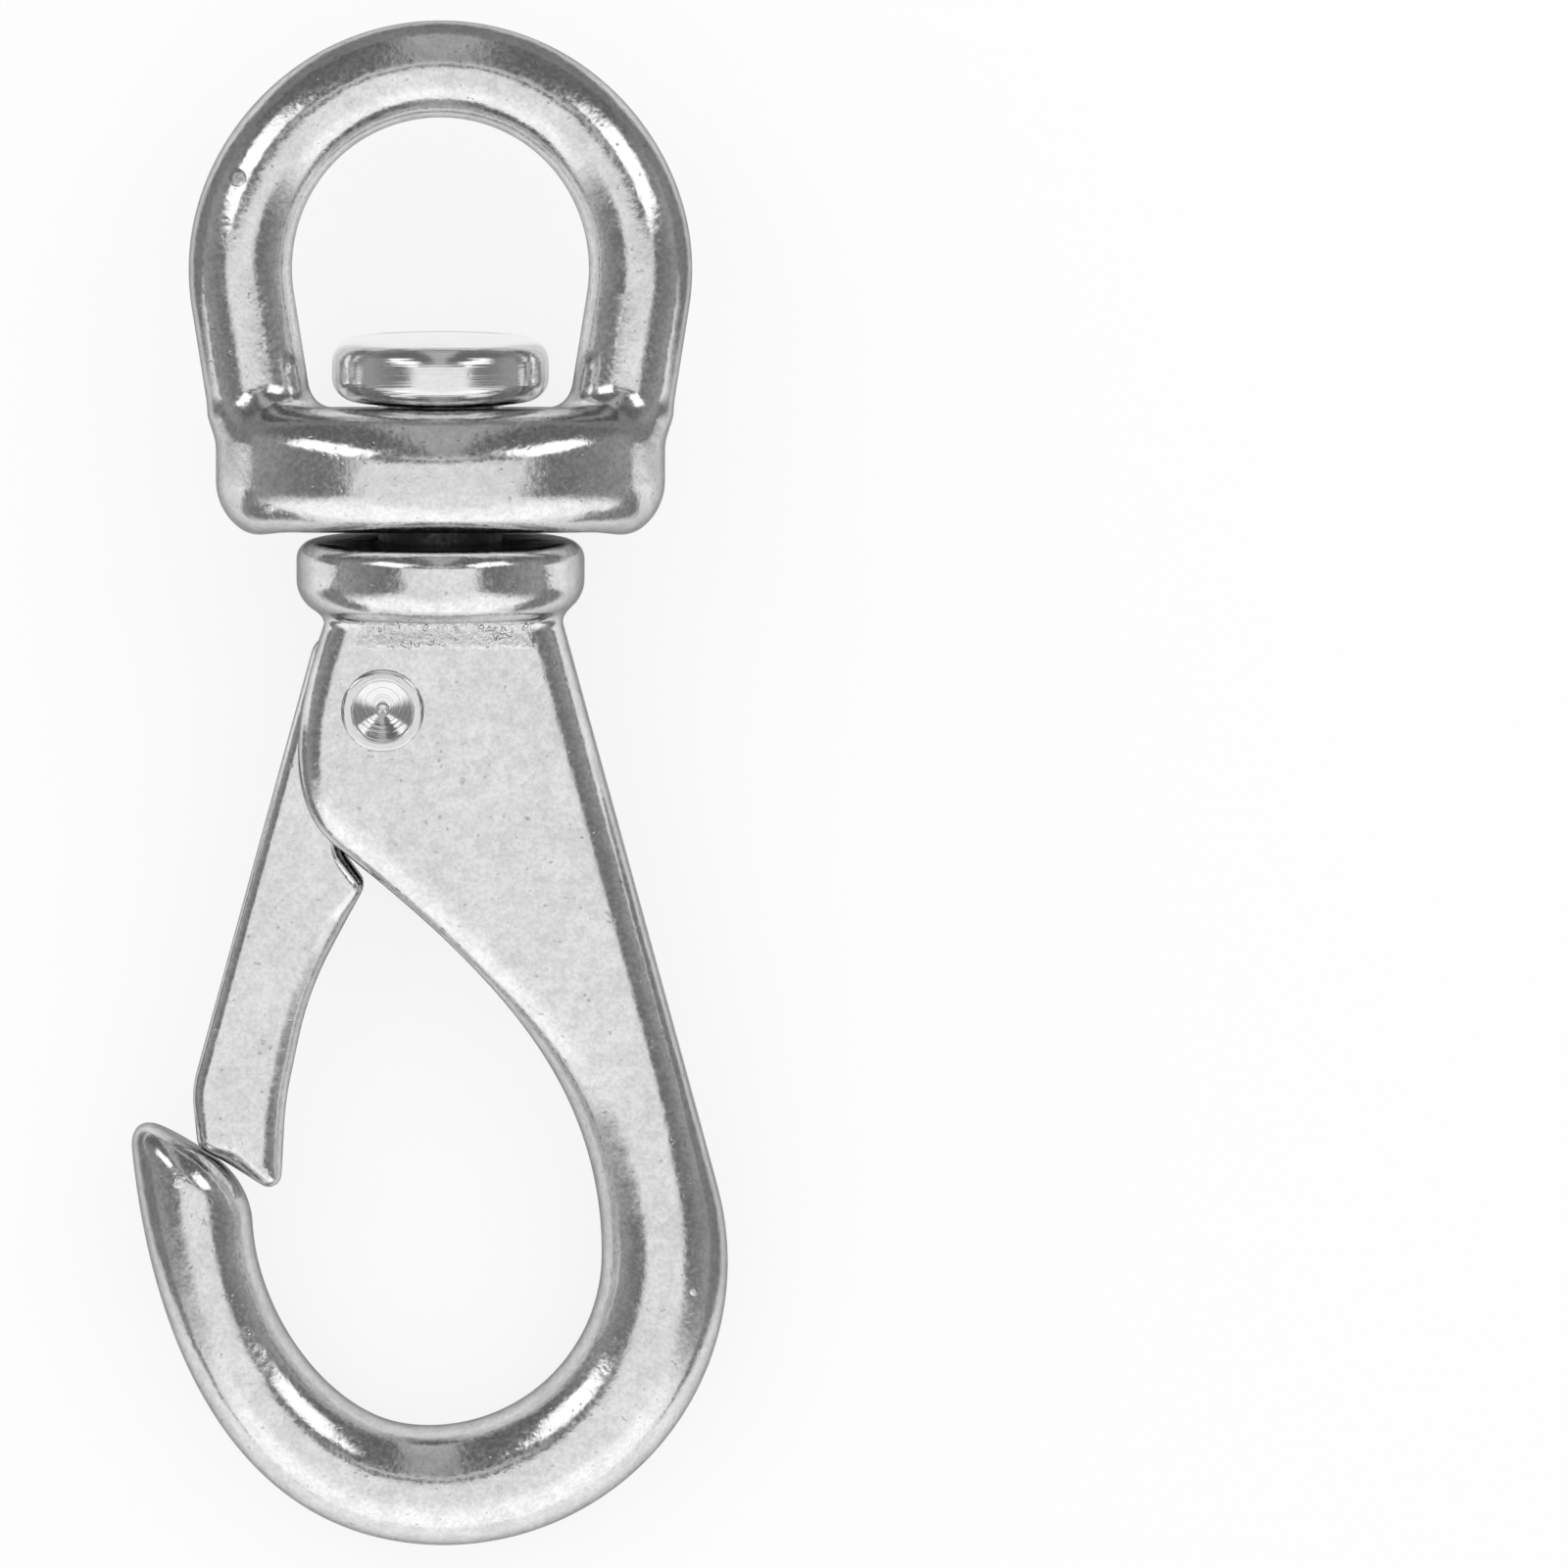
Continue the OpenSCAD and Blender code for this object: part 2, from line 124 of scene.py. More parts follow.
class Outline:
    """A curve in the plane, sampled evenly, with the solid on its left and an edge rounding at each sample."""

    spacing = 0.1
    # The table of nearest samples: its cell, its reach past the curve, and the samples tried round its guess
    cell = 0.25
    margin = 16
    window = 6

    def __init__(self, points, rounding, closed=False, soften=0.5):
        self.closed = closed
        points = np.asarray(points, float)
        if closed:
            points = np.concatenate([points, points[:1]])
        run = np.concatenate([[0], np.cumsum(np.linalg.norm(np.diff(points, axis=0), axis=1))])
        keep = np.concatenate([[True], np.diff(run) > 1e-6])
        n = int(run[-1] / self.spacing)
        at = np.linspace(0, run[-1], n + 1)
        p = np.stack([np.interp(at, run[keep], points[keep, k]) for k in (0, 1)], -1)
        if closed:
            p = p[:-1]
        p = self._blur(p, soften / self.spacing)
        self.p = p
        self.t = self._slope(p)
        self.t /= np.linalg.norm(self.t, axis=1)[:, None]
        bend = self._slope(self.t) / np.linalg.norm(self._slope(p), axis=1)[:, None]
        self.n = np.stack([self.t[:, 1], -self.t[:, 0]], -1)
        self.k = self._blur(-(bend * self.n).sum(1)[:, None], 2)[:, 0]
        self.r = rounding(p)
        self.low = p.min(0) - self.margin
        self.high = p.max(0) + self.margin
        self.table = self._table()

    def _ends(self, a, m):
        if self.closed:
            return np.concatenate([a[-m:], a, a[:m]])
        first = 2 * a[0] - a[1:m + 1][::-1]
        last = 2 * a[-1] - a[-m - 1:-1][::-1]
        return np.concatenate([first, a, last])

    def _blur(self, a, sigma):
        m = int(3 * sigma) + 1
        k = np.exp(-0.5 * (np.arange(-m, m + 1) / sigma) ** 2)
        k /= k.sum()
        wide = self._ends(a, m)
        return np.stack([np.convolve(wide[:, j], k, "valid") for j in range(a.shape[1])], -1)

    def _slope(self, a):
        wide = self._ends(a, 1)
        return (wide[2:] - wide[:-2]) / 2

    def _table(self):
        n = np.ceil((self.high - self.low) / self.cell).astype(int) + 1
        x = self.low[0] + self.cell * np.arange(n[0])
        y = self.low[1] + self.cell * np.arange(n[1])
        out = np.zeros(n, int)
        for i, xi in enumerate(x):
            far = (xi - self.p[None, :, 0]) ** 2 + (y[:, None] - self.p[None, :, 1]) ** 2
            out[i] = far.argmin(1)
        return out

    def at(self, x, y):
        """Depth inside the outline, its rounding there, and the index of the nearest sample."""
        x, y = np.broadcast_arrays(x, y)
        count = len(self.p)
        q = np.stack([x.ravel(), y.ravel()], -1)
        ij = np.clip(np.rint((q - self.low) / self.cell).astype(int), 0, np.array(self.table.shape) - 1)
        guess = self.table[ij[:, 0], ij[:, 1]]
        best = np.full(len(q), np.inf)
        index = guess.copy()
        for step in range(-self.window, self.window + 1):
            i = (guess + step) % count if self.closed else np.clip(guess + step, 0, count - 1)
            far = ((q - self.p[i]) ** 2).sum(1)
            nearer = far < best
            best[nearer] = far[nearer]
            index[nearer] = i[nearer]
        d = q - self.p[index]
        along = (d * self.t[index]).sum(1)
        across = (d * self.n[index]).sum(1)
        # Distance to the circle that fits the curve at the sample
        k = self.k[index]
        bent = 2 * across + k * (along ** 2 + across ** 2)
        out = bent / (1 + np.sqrt((1 + k * across) ** 2 + (k * along) ** 2))
        beyond = np.clip(index + np.sign(along).astype(int), 0, count - 1)
        share = np.clip(np.abs(along) / self.spacing, 0, 1)
        r = self.r[index] * (1 - share) + self.r[beyond] * share
        return -out.reshape(x.shape), r.reshape(x.shape), index.reshape(x.shape)


# Signed distances: negative inside the steel


def smin(a, b, k):
    """Union with a fillet of about k mm."""
    h = np.maximum(k - np.abs(a - b), 0) / k
    return np.minimum(a, b) - h * h * k / 4


def smax(a, b, k):
    """Intersection with the edge softened by about k mm."""
    return -smin(-a, -b, k)


def round_max(a, b, r):
    """Intersection with an edge rounded by r mm."""
    u, v = np.maximum(a + r, 0), np.maximum(b + r, 0)
    return np.where((u > 0) & (v > 0), np.hypot(u, v) - r, np.maximum(a, b))


def round_box(u, v, half_u, half_v, r):
    return round_max(np.abs(u) - half_u, np.abs(v) - half_v, r)


def oval(u, v, a, b):
    """Distance to an ellipse, good near its edge."""
    e = np.hypot(u / a, v / b)
    return e * (e - 1) / np.maximum(np.hypot(u / a ** 2, v / b ** 2), 1e-3)


def stock(depth_out, depth_in, r_out, r_in, high_in, z, half):
    """Stock between two outlines, half mm thick to each side, with its own edge rounding along each.

    The inner rounding reaches r_in over the face and high_in down the edge.
    """
    width = np.maximum((depth_out + depth_in) / 2, 0.3)
    sides = []
    for depth, r, high in ((depth_out, r_out, r_out), (depth_in, r_in, high_in)):
        a = 1 - depth / np.minimum(r, width)
        b = (np.abs(z) - (half - high)) / high
        rim = np.hypot(np.maximum(a, 0), np.maximum(b, 0))
        sides.append(high * (np.where((a > 0) | (b > 0), rim, np.maximum(a, b)) - 1))
    return np.maximum(*sides)


# Surface of a field, as a mesh

CORNERS = [(i, j, k) for i in (0, 1) for j in (0, 1) for k in (0, 1)]
EDGES = [(a, b) for a in range(8) for b in range(a + 1, 8)
         if sum(x != y for x, y in zip(CORNERS[a], CORNERS[b])) == 1]


def net(field, low, high, step):
    """Closed mesh of quads on field = 0, with the normals of its points.

    It has one point in each cell that the surface crosses, moved onto the surface.
    """
    x, y, z = (np.arange(lo, hi + step, step) for lo, hi in zip(low, high))
    f = field(x[:, None, None], y[None, :, None], z[None, None, :])
    n = np.array(f.shape) - 1
    part = [f[i:i + n[0], j:j + n[1], k:k + n[2]] for i, j, k in CORNERS]
    count = sum((p < 0).astype(np.int8) for p in part)
    cells = np.argwhere((count > 0) & (count < 8))
    number = np.full(n, -1)
    number[tuple(cells.T)] = np.arange(len(cells))
    values = np.stack([p[tuple(cells.T)] for p in part], -1)
    total, weight = np.zeros((len(cells), 3)), np.zeros(len(cells))
    for a, b in EDGES:
        va, vb = values[:, a], values[:, b]
        cross = (va < 0) != (vb < 0)
        t = np.where(cross, va / np.where(cross, va - vb, 1), 0)[:, None]
        total += np.where(cross[:, None], np.array(CORNERS[a]) * (1 - t) + np.array(CORNERS[b]) * t, 0)
        weight += cross
    points = np.array([x[0], y[0], z[0]]) + step * (cells + total / weight[:, None])
    quads = []
    for axis in range(3):
        b, c = (axis + 1) % 3, (axis + 2) % 3
        first = np.take(f, range(f.shape[axis] - 1), axis)
        second = np.take(f, range(1, f.shape[axis]), axis)
        edge = np.argwhere((first < 0) != (second < 0))
        beside = edge[:, [b, c]]
        edge = edge[((beside > 0) & (beside < n[[b, c]])).all(1)]
        inside = first[tuple(edge.T)] < 0
        ring = []
        for db, dc in ((1, 1), (0, 1), (0, 0), (1, 0)):
            cell = edge.copy()
            cell[:, b] -= db
            cell[:, c] -= dc
            ring.append(number[tuple(cell.T)])
        ring = np.stack(ring, -1)
        ring[~inside] = ring[~inside][:, ::-1]
        quads.append(ring)
    for _ in range(4):
        points, normals = onto(field, points)
    return points, np.concatenate(quads).tolist(), normals


def onto(field, p, e=0.004):
    """One Newton step onto the surface, and the unit normals there."""
    def value(q):
        return field(q[:, 0], q[:, 1], q[:, 2])
    f = value(p)
    g = np.stack([(value(p + e * d) - value(p - e * d)) / (2 * e) for d in np.eye(3)], -1)
    # The step stays short where the field is flat or bent
    size = np.maximum((g ** 2).sum(1), 0.05)
    move = np.clip(f / size, -0.3, 0.3)
    return p - g * move[:, None], g / np.sqrt(size)[:, None]


def add_object(name, data):
    o = bpy.data.objects.new(name, data)
    bpy.context.scene.collection.objects.link(o)
    return o


def piece(name, points, faces, normals=None):
    mesh = bpy.data.meshes.new(name)
    mesh.from_pydata(to_floor(points).tolist(), [], faces)
    mesh.validate()
    mesh.shade_smooth()
    if normals is not None:
        n = normals @ BASIS
        mesh.normals_split_custom_set_from_vertices((n / np.linalg.norm(n, axis=1)[:, None]).tolist())
    return add_object(name, mesh)


# Hook body

HALF_T = 3.6
HOOK_LEN, BEND_R, BOWL_R, WIRE_W = 59.6, 16.8, 10.2, 7.1
SPINE_SLOPE, OUTER_TURN, BOWL_TURN = 15.3, 104, 98
FLANGE_R, FLANGE_H, FLANGE_RIM_TOP, FLANGE_RIM_LOW, FLANGE_FILLET = 8.5, 4.4, 1.1, 2.1, 0.9
CHEEK_HIGH = 1.75
BILL_END_R, BILL_ROUND, BILL_SHARE = 1.6, 2.1, 0.62
SLOT_HALF_T, SLOT_Y, SLOT_HALF_W, SLOT_HALF_H, SLOT_ROUND = 1.82, -16.1, 11, 11.2, 1.5
PIN_HOLE_R, SHANK_HOLE_R, SHANK_DEPTH = 2.2, 3.72, 4.2
HOLE_EDGE = 0.2
bend_c = np.array([0.15, BEND_R - HOOK_LEN])
bowl_c = np.array([-0.7, BOWL_R + WIRE_W - HOOK_LEN])
pin_c = np.array([-3.4, -FLANGE_H - 5.4])
slot_wall = pin_c[0] + 4.5
spine_foot = bend_c + polar(BEND_R, SPINE_SLOPE)
spine_up = np.array([-math.sin(math.radians(SPINE_SLOPE)), math.cos(math.radians(SPINE_SLOPE))])
bill_out, bill_in = bend_c + [-18.45, 7.3], bend_c + [-11.3, 3.0]
bill_mid = (bill_out + bill_in) / 2
shoulder_along = unit(bill_in - bill_out)
shoulder_up = np.array([-shoulder_along[1], shoulder_along[0]])
cheek_corner = np.array([-6.3, -FLANGE_H - 13.5])
cheek_heading = np.array([-0.78, 0.625])


def outer_rounding(p):
    """2.4 mm over the face beside the plate, and half the thickness round the bend."""
    down = np.maximum.accumulate(smooth((-30 - p[:, 1]) / 15))
    return 2.4 + (HALF_T - 2.4) * down


def inner_rounding(p):
    """1.8 mm over the face at the neck, 3.3 mm along the cheek, and half the thickness in the bowl."""
    cheek = np.maximum.accumulate(smooth((-13 - p[:, 1]) / 7))
    bowl = np.maximum.accumulate(smooth((-22 - p[:, 1]) / 20))
    return 1.8 + 1.5 * cheek + (HALF_T - 3.3) * bowl


def hook_outlines():
    """The outer edge from the spine round to the bill, and the inner edge from the neck to the bill."""
    s = bend_c + polar(BEND_R, -OUTER_TURN)
    along = polar(1, -OUTER_TURN - 90)
    outer = run_on(np.concatenate([
        spine_foot + np.linspace(44, 0, 60, endpoint=False)[:, None] * spine_up,
        bend_c + polar(BEND_R, np.linspace(SPINE_SLOPE, -OUTER_TURN, 200, endpoint=False)),
        bezier([s, s + 9.7 * along, bill_out + [0.9, -10.5], bill_out], 100)]), 4)
    bowl_start = bowl_c + [BOWL_R, 0]
    s = bowl_c + polar(BOWL_R, -BOWL_TURN)
    along = polar(1, -BOWL_TURN - 90)
    neck = np.array([-6.1, -3.0])
    inner = run_on(np.concatenate([
        neck + np.linspace(4, 0, 10, endpoint=False)[:, None] * [0.3, 1],
        bezier([neck, [-9.2, -FLANGE_H - 6.1], cheek_corner + 3.6 * cheek_heading, cheek_corner], 80),
        bezier([cheek_corner, cheek_corner - 10.1 * cheek_heading, bowl_start + [0, 11.2], bowl_start], 160),
        bowl_c + polar(BOWL_R, np.linspace(0, -BOWL_TURN, 120, endpoint=False)),
        bezier([s, s + 4.6 * along, bill_in + [0, -5.8], bill_in], 80)]), 4)
    # Both run from the flange to the bill. The outer one is turned round, so that its solid is on its left
    return Outline(outer[::-1], lambda p: outer_rounding(p[::-1])[::-1]), Outline(inner, inner_rounding)


outer, inner = hook_outlines()
bill_from = int(len(inner.p) * BILL_SHARE)


def hook_field(x, y, z):
    rho = np.hypot(x, z)
    d_out, r_out, _ = outer.at(x, y)
    d_in, r_in, at = inner.at(x, y)
    # Beside the slot the edge rounding stays on the cheeks, and further down it takes in the whole edge
    high_in = CHEEK_HIGH + (HALF_T - CHEEK_HIGH) * smooth((-24 - y) / 11)
    f = stock(d_out, d_in, r_out, r_in, high_in, z, HALF_T)
    # The bill ends at its shoulder, and the plate ends inside the flange
    end = (x - bill_mid[0]) * shoulder_up[0] + (y - bill_mid[1]) * shoulder_up[1] - BILL_END_R
    f = np.where((at > bill_from) & (x < -4), round_max(f, end, BILL_ROUND), np.maximum(f, y + 1.5))
    rim = np.where(y > -FLANGE_H / 2, FLANGE_RIM_TOP, FLANGE_RIM_LOW)
    f = smin(f, round_box(rho, y + FLANGE_H / 2, FLANGE_R, FLANGE_H / 2, rim), FLANGE_FILLET)
    slot = round_box(x - (slot_wall - SLOT_HALF_W), y - SLOT_Y, SLOT_HALF_W, SLOT_HALF_H, SLOT_ROUND)
    f = smax(f, -np.maximum(np.abs(z) - SLOT_HALF_T, slot), 0.25)
    f = smax(f, PIN_HOLE_R - np.hypot(x - pin_c[0], y - pin_c[1]), HOLE_EDGE)
    return smax(f, -np.maximum(rho - SHANK_HOLE_R, -SHANK_DEPTH - y), HOLE_EDGE)


def build_hook():
    return piece("hook_casting", *net(hook_field, (-19.5, -60.5, -9), (18.2, 0.8, 9), 0.26))


# Gate

GATE_T, KNUCKLE_R, GATE_HOLE_R, GATE_GAP = 3.4, 4.0, 2.25, 0.12
GATE_ROUND, GATE_ROUND_MORE = 0.85, 0.7
SPRING_R, SPRING_WIRE = 2.65, 0.5
POCKET_ROOM, POCKET_TOP = 0.45, 0.35


def gate_outline():
    top = pin_c + [-3.95, 4.1]
    foot = top + 27.8 * spine_up * [1, -1]
    mid = bill_mid + (BILL_END_R + GATE_GAP) * shoulder_up
    end, tip = mid - 0.6 * shoulder_along, mid + 5.1 * shoulder_along
    heel, notch = (-4.4, -FLANGE_H - 15.9), (-6.4, -FLANGE_H - 13.2)
    side = pin_c + polar(KNUCKLE_R, -40)
    return rounded([
        (*top, 1.2), (*foot, 5), (*end, 0.8), (*tip, 0.75), (tip[0] + 0.3, tip[1] + 5.6, 20),
        (heel[0] - 3.4, heel[1] - 6.4, 20), (*heel, 0.8), (*notch, 1.5), (*side, 0.2),
        (pin_c[0], pin_c[1] + KNUCKLE_R, 0.2)])


def gate_rounding(p):
    """The concave inner edge between heel and tip is nearly half round, the other edges are tighter."""
    across = (p[:, 0] - pin_c[0]) * spine_up[1] + (p[:, 1] - pin_c[1]) * spine_up[0]
    inner_side = smooth((across + 3.2) / 1.6) * smooth((-20.8 - p[:, 1]) / 2) * smooth((p[:, 1] + 38.6) / 2)
    return GATE_ROUND + GATE_ROUND_MORE * inner_side


gate_edge = Outline(gate_outline(), gate_rounding, closed=True, soften=0.12)


def gate_field(x, y, z):
    depth, edge_r, _ = gate_edge.at(x, y)
    ring = np.hypot(x - pin_c[0], y - pin_c[1])
    flat = smin(-depth, ring - KNUCKLE_R, 0.6)
    f = round_max(flat, np.abs(z) - GATE_T / 2, edge_r)
    f = smax(f, GATE_HOLE_R - ring, HOLE_EDGE)
    pocket = np.maximum(ring - SPRING_R - POCKET_ROOM, z - POCKET_TOP)
    return smax(f, -pocket, 0.15)


def build_gate():
    return piece("gate_casting", *net(gate_field, (-16.13, -40.57, -2.25), (1.4, -4.4, 2.2), 0.18))


# Eye

COLLAR_W, COLLAR_H, BOSS_D, LOW_R, COLLAR_FILLET = 26.5, 7.3, 17.2, 2.7, 1.5
BOW_R, BOW_D, BOW_RISE, LEG_ANGLE = 11.8, 5.7, 15.5, 9
SHANK_D, HEAD_D, HEAD_H, HEAD_ROUND, EYE_PLAY = 7.4, 12.7, 3.9, 1.3, 0.1
droop = math.radians(4)
eye_y = EYE_PLAY + (COLLAR_H / 2 - LOW_R) * math.cos(droop) + (BOSS_D / 2 - LOW_R) * math.sin(droop) + LOW_R
head_y = eye_y + COLLAR_H / 2 * math.cos(droop) + (HEAD_D / 2 - HEAD_ROUND) * math.sin(droop) + EYE_PLAY
bore_r = (SHANK_D / 2 + COLLAR_H / 2 * math.sin(droop)) / math.cos(droop) + EYE_PLAY
DROOP = np.array([[1, 0, 0], [0, math.cos(droop), -math.sin(droop)], [0, math.sin(droop), math.cos(droop)]])


def eye_to_upright(p):
    """From the eye's own frame, with y up from the collar's foot, to the working frame."""
    return (np.asarray(p) - [0, COLLAR_H / 2, 0]) @ DROOP + [0, eye_y, 0]


def eye_field(x, y, z):
    ax = np.abs(x)
    # The bow: half a ring on two legs that lean in, a little thicker there than at its top
    rise = y - BOW_RISE
    leg = polar(1, -LEG_ANGLE)
    on_leg = ax * leg[0] + rise * leg[1] - BOW_R
    flat = np.where(rise * leg[0] - ax * leg[1] < 0, on_leg, np.hypot(ax, rise) - BOW_R)
    radius = BOW_D / 2 + 0.2 * smooth((BOW_RISE + BOW_R - y) / BOW_R)
    bow = round_max(np.hypot(flat, z) - radius, 6.2 - y, 0.9)
    # The collar: a barrel, oval in plan. Towards its ends its foot is a little lower, its upper rim gets
    # tighter and its lower rim rounder
    end = smooth((ax - 8.8) / 3)
    foot, top = -0.3 * end, COLLAR_H
    above = y - (foot + top) / 2
    tight = np.clip(ax / (COLLAR_W / 2), 0, 1) ** 2
    rim = np.where(above > 0, 3.3 - 1.6 * tight, 2.3 + 1.0 * tight)
    collar = round_max(oval(x, z, COLLAR_W / 2, BOSS_D / 2), np.abs(above) - (top - foot) / 2, rim)
    bore = np.maximum(np.hypot(x, z) - bore_r, y - COLLAR_H - 2)
    return smax(smin(collar, bow, COLLAR_FILLET), -bore, 0.5)


def build_eye():
    p, q, n = net(eye_field, (-15.6, -0.9, -9.2), (15.6, 31.2, 9.2), 0.24)
    return piece("eye_casting", eye_to_upright(p), q, n @ DROOP)


# Turned parts and the spring


def lathe(profile, sides, axis):
    """Solid of revolution on the axis y or z. The profile is (radius, height), from low to high."""
    profile = np.asarray(profile, float)
    a = 2 * np.pi * np.arange(sides) / sides
    r, h = profile[1:-1, 0][:, None], profile[1:-1, 1][:, None] + 0 * a
    n = len(r)
    rings = np.stack([r * np.cos(a), r * np.sin(a), h], -1)
    points = np.concatenate([rings.reshape(-1, 3), [[0, 0, profile[0, 1]], [0, 0, profile[-1, 1]]]])
    if axis == "y":
        points = points[:, [0, 2, 1]] * [1, 1, -1]
    low_end, high_end, last = n * sides, n * sides + 1, (n - 1) * sides
    faces = []
    for j in range(sides):
        k = (j + 1) % sides
        faces += [[low_end, k, j], [high_end, last + j, last + k]]
        faces += [[i + j, i + k, i + sides + k, i + sides + j] for i in range(0, last, sides)]
    return points, faces


def tube(path, radius, sides=14):
    path = np.asarray(path, float)
    t = np.gradient(path, axis=0)
    t /= np.linalg.norm(t, axis=1)[:, None]
    u = np.cross(t, [0, 0, 1.0])
    u /= np.linalg.norm(u, axis=1)[:, None]
    v = np.cross(t, u)
    a = 2 * np.pi * np.arange(sides) / sides
    round_it = np.cos(a)[None, :, None] * u[:, None] + np.sin(a)[None, :, None] * v[:, None]
    rings = path[:, None] + radius * round_it
    last = (len(path) - 1) * sides
    faces = [[i + j, i + (j + 1) % sides, i + sides + (j + 1) % sides, i + sides + j]
             for i in range(0, last, sides) for j in range(sides)]
    faces += [list(range(sides - 1, -1, -1)), list(range(last, last + sides))]
    return rings.reshape(-1, 3), faces


def build_bolt():
    """Returns the bolt, and which of its faces are on the shank, whose near-black colour is painted shade in
    the joint.
    """
    r, rim, top = SHANK_D / 2, HEAD_D / 2, head_y + HEAD_H
    chamfer, dome = 0.5, 0.25
    profile = np.concatenate([
        [[0, -SHANK_DEPTH], [r - chamfer, -SHANK_DEPTH], [r, chamfer - SHANK_DEPTH]],
        [[r, h] for h in np.linspace(-3, head_y - 0.2, 12)],
        [[r, head_y]], arc((0, head_y), (rim, head_y), (rim + 0.12, top), 1.4),
        arc((rim, head_y), (rim + 0.05, top - dome), (0, top), HEAD_ROUND),
        [[(rim - 1.6) * t, top - dome * t * t] for t in np.linspace(0.95, 0.1, 8)], [[0, top]]])
    p, q = lathe(profile, 160, "y")
    # The shank below the head takes a near-black colour, painted shade for the gap under the collar
    shank = [all(p[i][1] < head_y - 0.5 for i in face) for face in q]
    return piece("bolt_turned", p, q), shank


def build_pin():
    """Pin with a cone drilled in each end, which spreads its rim over the plate."""
    top, rim, cone_r, drill_r = HALF_T + 0.25, 2.45, 1.8, 0.4
    cone_low = top - 1.0
    half = np.concatenate([
        [[drill_r * 0.5, cone_low - 0.4], [drill_r, cone_low - 0.3], [drill_r, cone_low]],
        [[drill_r + (cone_r - drill_r) * t, cone_low + (top - 0.1 - cone_low) * t]
         for t in np.linspace(0.05, 1, 12)],
        arc((drill_r, cone_low), (cone_r + 0.08, top), (rim, top), 0.16, 6),
        arc((0, top), (rim, top), (rim, 0), 0.24, 8), [[rim, HALF_T], [PIN_HOLE_R, HALF_T]]])
    profile = np.concatenate([[[0, 0.45 - cone_low]], half * [1, -1], half[::-1], [[0, cone_low - 0.45]]])
    p, q = lathe(profile, 96, "z")
    return piece("pin_turned", p + [*pin_c, 0], q)


def build_spring():
    """Returns the spring, and the places on its axis between which it winds from the hook to the gate."""
    start, sweep = 25, 360 * 2 + 135
    rise = SPRING_WIRE * 1.05 * sweep / 360
    low = 0.1 + SPRING_WIRE / 2 - GATE_T / 2
    t = np.linspace(0, 1, 120)
    coil = np.concatenate([polar(SPRING_R, start + sweep * t), (low + rise * t)[:, None]], -1)
    a, b = math.radians(start), math.radians(start + sweep)
    wall_leg = (slot_wall - pin_c[0] - SPRING_WIRE / 2 - 0.03 - SPRING_R * math.cos(a)) / math.sin(a)
    first = coil[0] + np.linspace(wall_leg, 0, 8, endpoint=False)[:, None] * [math.sin(a), -math.cos(a), 0]
    last = coil[-1] + np.linspace(0, 7.5, 16)[1:, None] * [-math.sin(b), math.cos(b), 0]
    p, q = tube(np.concatenate([first, coil, last]) + [*pin_c, 0], SPRING_WIRE / 2)
    winds = [to_floor([*pin_c, z]) for z in (low + SPRING_WIRE / 2, low + rise - SPRING_WIRE / 2)]
    return piece("spring_wire", p, q), *winds


# Materials


class Nodes:
    """Short way to write a node tree."""

    def __init__(self, tree):
        self.tree = tree
        tree.nodes.clear()

    def add(self, kind, **values):
        node = self.tree.nodes.new(kind)
        for key, value in values.items():
            setattr(node, key, value)
        return node

    def link(self, a, b):
        self.tree.links.new(a, b)

    def fill(self, sockets, values):
        """Sets each socket to a number, or links it to another socket."""
        for socket, value in zip(sockets, values):
            if isinstance(value, (int, float)):
                socket.default_value = value
            else:
                self.link(value, socket)

    def math(self, op, *values):
        node = self.add("ShaderNodeMath", operation=op)
        self.fill(node.inputs, values)
        return node.outputs[0]

    def times(self, first, *rest):
        for value in rest:
            first = self.math("MULTIPLY", first, value)
        return first

    def plus(self, first, *rest):
        for value in rest:
            first = self.math("ADD", first, value)
        return first

    def less(self, x):
        """1 - x."""
        return self.math("SUBTRACT", 1.0, x)

    def ramp(self, x, low, high, start=0.0, end=1.0):
        """From start at x = low to end at x = high, with soft ends."""
        node = self.add("ShaderNodeMapRange", interpolation_type="SMOOTHSTEP")
        self.fill([node.inputs[name] for name in ("Value", "From Min", "From Max", "To Min", "To Max")],
                  (x, low, high, start, end))
        return node.outputs[0]

    def between(self, x, a, b, c, d):
        """1 from b to c, falling to 0 at a and d."""
        return self.times(self.ramp(x, a, b), self.ramp(x, d, c))

    def mix(self, share, a, b):
        node = self.add("ShaderNodeMix", data_type="FLOAT")
        self.fill([node.inputs[i] for i in (0, 2, 3)], (share, a, b))
        return node.outputs[0]

    def split(self, vector):
        node = self.add("ShaderNodeSeparateXYZ")
        self.link(vector, node.inputs[0])
        return node.outputs

    def distance(self, where, x, y):
        """Distance in plan from a place on the floor."""
        shift = self.add("ShaderNodeVectorMath", operation="SUBTRACT")
        self.link(where, shift.inputs[0])
        shift.inputs[1].default_value = (x, y, 0)
        dx, dy, _ = self.split(shift.outputs[0])
        return self.math("SQRT", self.plus(self.math("POWER", dx, 2.0), self.math("POWER", dy, 2.0)))

    def noise(self, where, scale, detail=2.0, rough=0.5):
        node = self.add("ShaderNodeTexNoise")
        self.link(where, node.inputs["Vector"])
        self.fill([node.inputs[name] for name in ("Scale", "Detail", "Roughness")], (scale, detail, rough))
        return node.outputs["Fac"]


# Sizes of the surface's features, as noise scales per metre, and the height that one unit of bump stands for
FINE, WAVE, SLOW, PITS, DENTS, RAGGED, RINGS = 3600.0, 1100.0, 260.0, 2300.0, 2900.0, 1500.0, 5200.0
BUMP = 0.000007

# Scuffs, each a pixel of the photograph and a radius in mm, and two corners of the strip below the flange
MARKS = [(243, 182, 0.55), (275, 520, 0.3), (708, 1318, 0.25), (182, 1205, 0.45), (252, 1196, 0.35)]
STRIP = ((362, 634), (547, 662))


